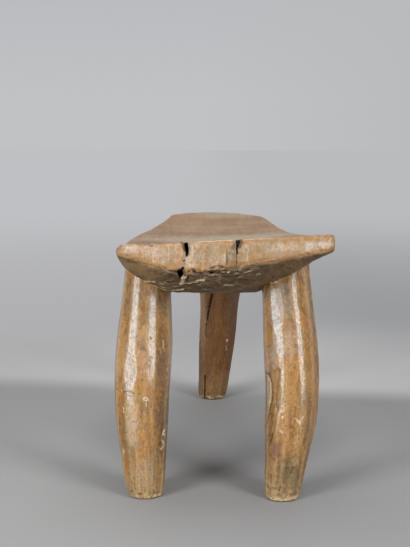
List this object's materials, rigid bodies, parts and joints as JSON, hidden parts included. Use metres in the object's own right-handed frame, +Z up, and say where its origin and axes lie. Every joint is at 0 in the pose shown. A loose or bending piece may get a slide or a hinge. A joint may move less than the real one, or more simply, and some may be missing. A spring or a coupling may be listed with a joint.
{
  "type": "lobi stool",
  "caption": "Low carved hardwood stool: a long saddle seat with a wide straight end and a rounded tail, on stout splayed legs, with drying cracks in the wide end.",
  "frame": {"origin": "on the floor, under the middle of the seat's length and width", "axes": "+Z up, +Y from the wide front end to the rounded tail, +X to the right seen from the front"},
  "size_m": [0.2161, 0.465, 0.2656],
  "materials": {
    "seat_wood": "dry hand-hewn hardwood, worn matt on top, open end grain on the front end",
    "front_leg_wood": "hand-rubbed satin patina, honey brown, paler worn feet",
    "rear_leg_wood": "hand-rubbed satin patina, dark reddish brown"
  },
  "bodies": {
    "root": {"seat": "seat_wood", "front_left_leg": "front_leg_wood", "front_right_leg": "front_leg_wood", "rear_leg": "rear_leg_wood"}
  },
  "joints": []
}
